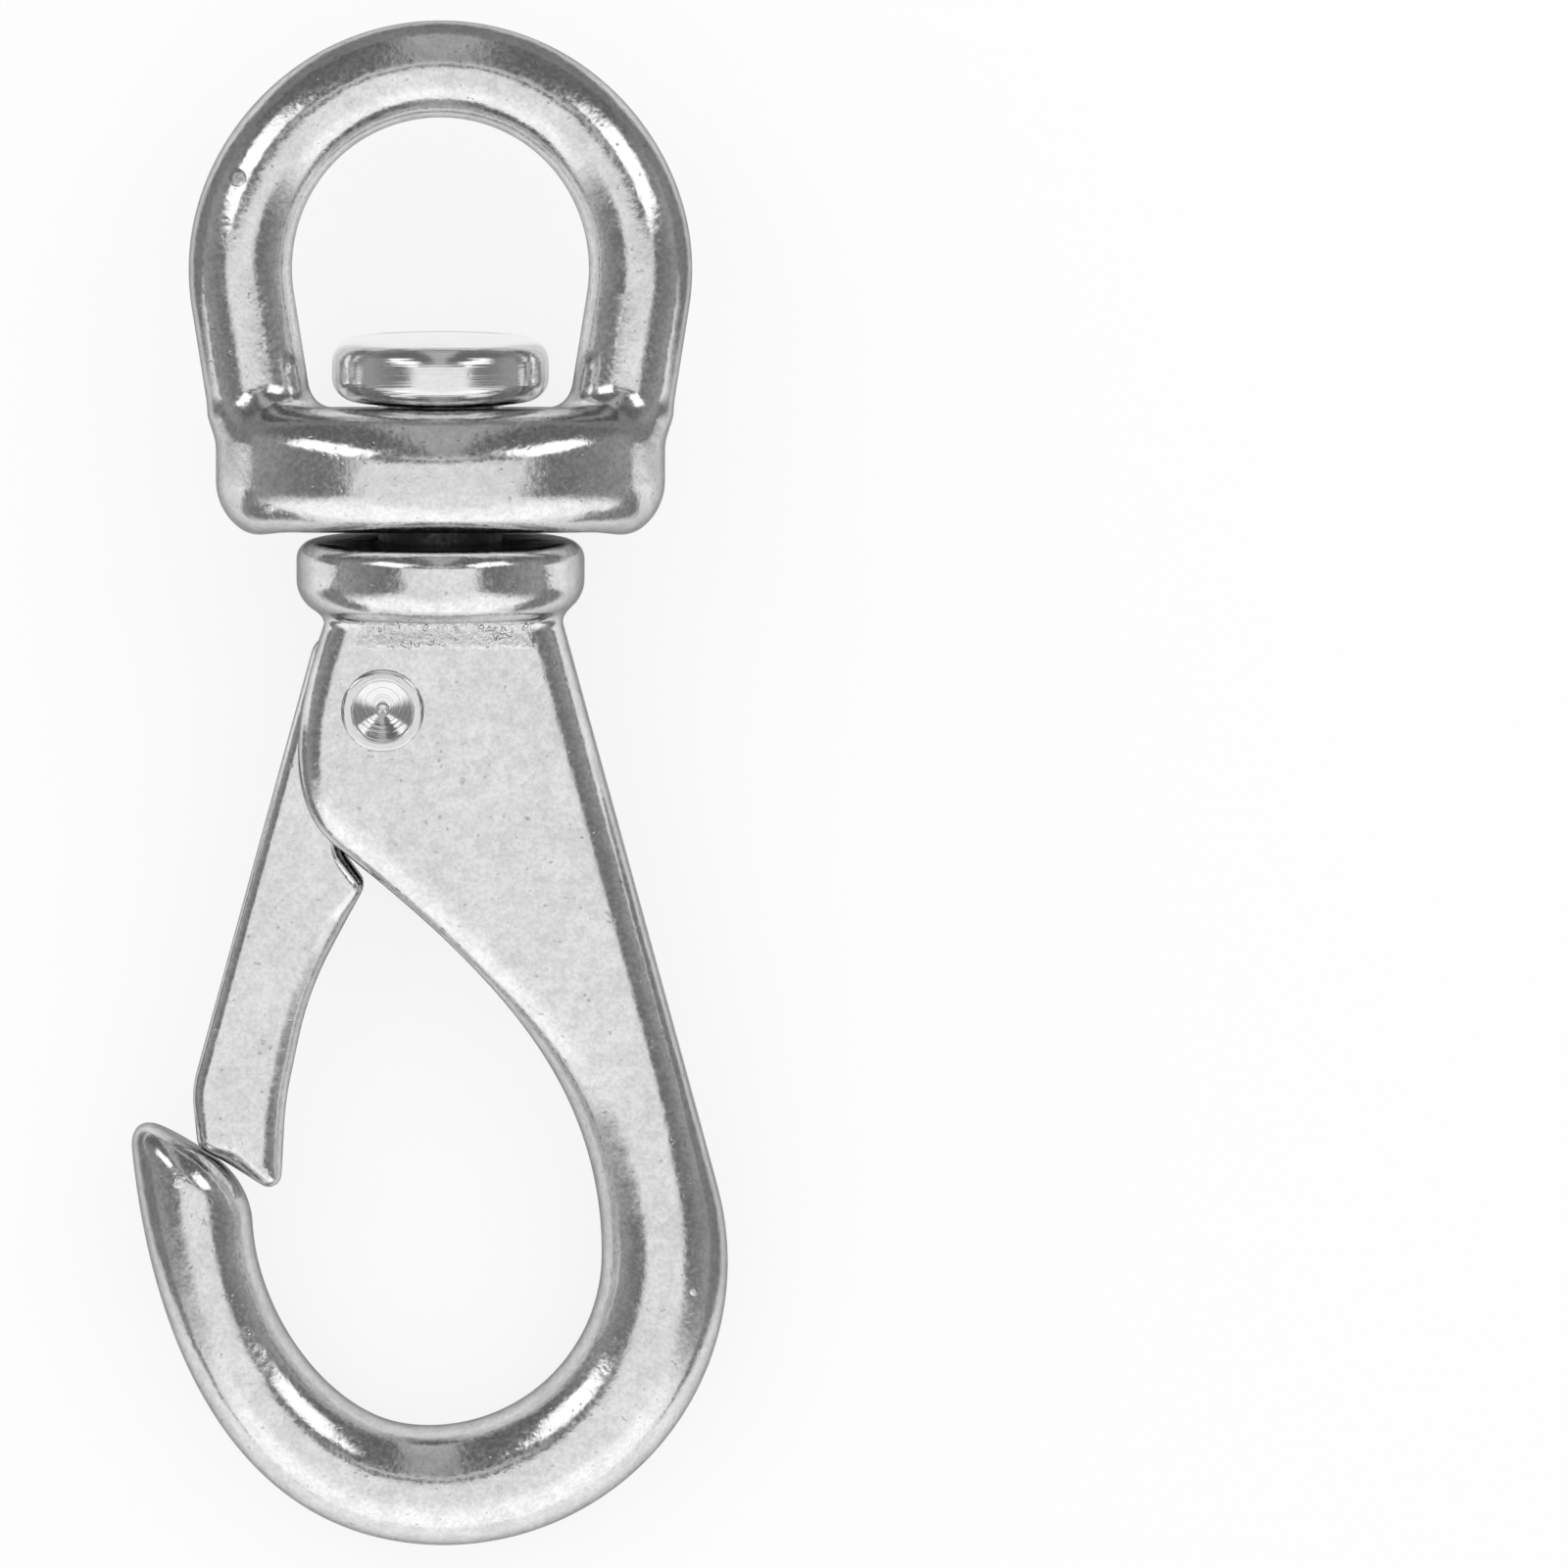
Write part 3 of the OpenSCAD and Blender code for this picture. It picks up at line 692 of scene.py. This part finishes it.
def spot(n, where, px, py, radius):
    """1 inside a round mark, fading to 0 at its radius in mm."""
    return n.ramp(n.distance(where, *at_photo(px, py)), radius * MM, radius * MM * 0.5)


def rough_strip(n, where):
    """1 on the ragged cast strip below the flange, 0 elsewhere."""
    x, y, _ = n.split(where)
    (x0, y1), (x1, y0) = (at_photo(*corner) for corner in STRIP)
    band = n.between(y, y0 - 0.0002, y0 + 0.0003, y1 - 0.0002, y1 + 0.0002)
    span = n.between(x, x0, x0 + 0.0006, x1 - 0.0006, x1)
    return n.times(band, span, n.ramp(n.noise(where, RAGGED, 2.0, 0.7), 0.32, 0.42))


def steel(name, colour, roughness, edge=1.0, grain=1.0, scuffed=False, lines=None, rings=None):
    """Polished steel: a mirror with a fine grain, soft waves and scattered pits.

    edge is its brightness where it is seen at a grazing angle. scuffed adds the marks and the rough strip.
    lines is the noise scale of turning marks along x, y and z, and rings the centre of round ones.
    """
    material = bpy.data.materials.new(name)
    material.use_nodes = True
    n = Nodes(material.node_tree)
    out = n.add("ShaderNodeOutputMaterial")
    bsdf = n.add("ShaderNodeBsdfPrincipled")
    n.link(bsdf.outputs[0], out.inputs[0])
    bsdf.inputs["Metallic"].default_value = 1.0
    bsdf.inputs["Specular Tint"].default_value = (edge, edge, edge, 1)
    where = n.add("ShaderNodeTexCoord").outputs["Object"]
    fine = n.noise(where, FINE, 3.0, 0.65)
    wave = n.noise(where, WAVE, 2.0, 0.55)
    slow = n.noise(where, SLOW, 1.0, 0.5)
    pits = n.ramp(n.noise(where, PITS, 1.0, 0.5), 0.70, 0.78)
    rough = n.ramp(fine, 0.3, 0.75, roughness * 0.7, roughness * 1.6)
    height = n.plus(n.times(fine, 1.0 * grain), n.times(wave, 3.0 * grain), n.times(slow, 9.0 * grain))
    height = n.math("SUBTRACT", height, n.times(pits, 1.3 * grain))
    tone = n.times(
        n.ramp(fine, 0.36, 0.62, 1 - 0.14 * grain, 1.0), n.ramp(slow, 0.35, 0.65, 1 - 0.05 * grain, 1.0),
        n.less(n.times(pits, 0.25 * grain)), n.ramp(wave, 0.38, 0.60, 1 - 0.09 * grain, 1.0))
    if scuffed:
        scuff = rough_strip(n, where)
        for mark in MARKS:
            scuff = n.math("MAXIMUM", scuff, spot(n, where, *mark))
        height = n.plus(height, n.times(scuff, n.noise(where, DENTS, 3.0, 0.7), 26.0))
        rough = n.plus(rough, n.times(scuff, 0.12))
    if lines:
        axis = n.add("ShaderNodeMapping")
        n.link(where, axis.inputs["Vector"])
        axis.inputs["Scale"].default_value = lines
        height = n.plus(height, n.times(n.noise(axis.outputs[0], 1.0, 2.0, 0.6), 2.6))
    if rings:
        reach = n.add("ShaderNodeCombineXYZ")
        n.link(n.distance(where, *rings), reach.inputs[0])
        height = n.plus(height, n.times(n.noise(reach.outputs[0], RINGS, 2.0, 0.6), 7.0))
    shade = n.add("ShaderNodeCombineColor")
    n.fill(shade.inputs, [n.times(tone, share) for share in colour])
    n.link(shade.outputs[0], bsdf.inputs["Base Color"])
    n.link(rough, bsdf.inputs["Roughness"])
    bump = n.add("ShaderNodeBump")
    bump.inputs["Strength"].default_value = 1.0
    bump.inputs["Distance"].default_value = BUMP
    n.link(height, bump.inputs["Height"])
    n.link(bump.outputs[0], bsdf.inputs["Normal"])
    return material


CASTING, CASTING_EDGE = (0.91, 0.91, 0.915), 0.45
pin_place = to_floor([*pin_c, 0])
cast = steel("cast_steel", CASTING, 0.15, edge=CASTING_EDGE, scuffed=True)
gate_steel = steel("gate_steel", CASTING, 0.16, edge=CASTING_EDGE)
turned = steel("turned_steel", (0.92, 0.92, 0.925), 0.12, grain=0.3, lines=(60.0, 9000.0, 60.0))
pin_steel = steel("pin_steel", (0.84, 0.84, 0.845), 0.13, grain=0.3, rings=tuple(pin_place[:2]))
# Painted shade: near-black steel for the bolt's shank, standing in for the dark gap between the collar and the
# flange
painted_shade = steel("painted_shade_steel", (0.10, 0.10, 0.10), 0.45, grain=0.5)
wire = steel("spring_steel", (0.55, 0.55, 0.56), 0.3, grain=0.5)


# Pieces


def finish(o, material, body, node):
    o.data.materials.append(material)
    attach(o, body)
    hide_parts(node)


finish(build_hook(), cast, "hook", "hook_body")
finish(build_gate(), gate_steel, "snap_gate", "gate")
finish(build_eye(), cast, "swivel_eye", "eye")
bolt, shank_faces = build_bolt()
finish(bolt, turned, "hook", "swivel_bolt")
# The shank's faces take the painted shade material
bolt.data.materials.append(painted_shade)
bolt.data.polygons.foreach_set("material_index", [int(v) for v in shank_faces])
finish(build_pin(), pin_steel, "hook", "gate_pin")
spring, wall_end, gate_end = build_spring()
spring.data.materials.append(wire)
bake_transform(spring)
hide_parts("gate_spring")


# Floor, light and camera

FLOOR = 1.5
FLOOR_WHITE, FLOOR_FAR = 0.86, 0.2
CAMERA_FAR, SENSOR = 3.0, 36


def floor_material():
    """White to the camera, with a soft shadow. In the steel it is a light card, grey further out."""
    material = bpy.data.materials.new("floor_white")
    material.use_nodes = True
    n = Nodes(material.node_tree)
    out = n.add("ShaderNodeOutputMaterial")
    diffuse = n.add("ShaderNodeBsdfDiffuse")
    glow = n.add("ShaderNodeEmission")
    glow.inputs["Color"].default_value = (1, 1, 1, 1)
    path = n.add("ShaderNodeLightPath")
    glossy = path.outputs["Is Glossy Ray"]
    x, y, _ = n.split(n.add("ShaderNodeTexCoord").outputs["Object"])
    off_axis = n.math("ABSOLUTE", x)
    # The card widens towards the bill and beside the collar, where the photograph's reflections stay light
    spread = n.times(n.math("MINIMUM", n.plus(y, 0.030), 0.0), 0.9)
    beside = n.between(y, 0.003, 0.006, 0.0150, 0.0245)
    across = n.times(n.ramp(n.plus(off_axis, spread), 0.022, 0.030), n.less(beside))
    along = n.ramp(y, 0.050, 0.058)
    far = n.times(n.math("MAXIMUM", across, along), glossy)
    n.link(n.mix(far, FLOOR_WHITE, FLOOR_FAR), diffuse.inputs["Color"])
    # Inside the bow the steel sees the white background too, which whitens the top of the bolt's head
    inside = n.times(n.ramp(y, 0.0245, 0.0262), n.less(along), n.ramp(off_axis, 0.011, 0.008), glossy)
    share = n.times(n.math("MAXIMUM", path.outputs["Is Camera Ray"], inside), 0.8)
    mix = n.add("ShaderNodeMixShader")
    n.fill(mix.inputs, (share, diffuse.outputs[0], glow.outputs[0]))
    n.link(mix.outputs[0], out.inputs[0])
    return material


def studio():
    """World round the object. Glossy rays see the studio below, and all other rays an even white.

    It has a light ceiling, a bright card towards the bill, a dark flag beyond the eye with a lighter slit
    in its middle, a light strip between the ceiling and the flag, and grey sides that darken upwards.
    """
    world = bpy.data.worlds.new("studio")
    bpy.context.scene.world = world
    world.use_nodes = True
    n = Nodes(world.node_tree)
    out = n.add("ShaderNodeOutputWorld")
    sky = n.add("ShaderNodeBackground")
    n.link(sky.outputs[0], out.inputs[0])
    x, y, z = n.split(n.add("ShaderNodeTexCoord").outputs["Generated"])
    flat = n.math("SQRT", n.math("MAXIMUM", n.less(n.times(z, z)), 0.0001))
    ahead = n.math("DIVIDE", y, flat)
    side = n.math("ABSOLUTE", n.math("DIVIDE", x, flat))
    card = n.ramp(ahead, -0.28, -0.72)
    flag = n.ramp(ahead, 0.35, 0.75)
    slit = n.times(n.ramp(side, 0.24, 0.14), n.ramp(y, 0.15, 0.3))
    strip = n.times(n.between(y, 0.15, 0.20, 0.24, 0.29), n.ramp(side, 0.85, 0.6))
    ceiling = n.times(n.ramp(z, n.mix(card, 0.80, 0.45), 0.90), n.ramp(y, 0.085, 0.035))
    level = n.ramp(z, 0.0, 0.8, 0.32, 0.18)
    for share, light in ((flag, 0.14), (slit, 0.42), (card, 1.15), (ceiling, 0.87), (strip, 0.8)):
        level = n.mix(share, level, light)
    level = n.mix(n.add("ShaderNodeLightPath").outputs["Is Glossy Ray"], 1.0, level)
    n.link(level, sky.inputs["Strength"])
    sky.inputs["Color"].default_value = (1, 1, 1, 1)


def lamp(name, azimuth, zenith=45, size=(0.22, 0.36), power=0.32, far=0.6):
    light = bpy.data.lights.new(name, "AREA")
    light.shape = "RECTANGLE"
    light.size, light.size_y = size
    light.energy = power
    o = add_object(name, light)
    a, t = math.radians(azimuth), math.radians(zenith)
    way = np.array([math.sin(t) * math.cos(a), math.sin(t) * math.sin(a), math.cos(t)])
    o.location = Vector(way * far)
    o.rotation_euler = Vector(-way).to_track_quat("-Z", "Y").to_euler()


floor_mesh = bpy.data.meshes.new("floor")
floor_corners = [(FLOOR * x, FLOOR * y, 0) for x, y in ((-1, -1), (1, -1), (1, 1), (-1, 1))]
floor_mesh.from_pydata(floor_corners, [], [(0, 1, 2, 3)])
floor = add_object("floor", floor_mesh)
floor_mesh.materials.append(floor_material())

studio()
lamp("lamp_left", 146)
lamp("lamp_right", 34)

# The camera looks straight down on the middle of the photograph
aim = at_photo(PHOTO / 2, PHOTO / 2)
camera_data = bpy.data.cameras.new("camera")
camera_data.sensor_width = SENSOR
camera_data.lens = SENSOR * CAMERA_FAR / (PHOTO / PX_PER_MM * MM)
camera_data.clip_end = 10
camera = add_object("camera", camera_data)
camera.location = (aim[0], aim[1], CAMERA_FAR + ORIGIN[2])
bpy.context.scene.camera = camera

view = bpy.context.scene.view_settings
view.view_transform = "Standard"
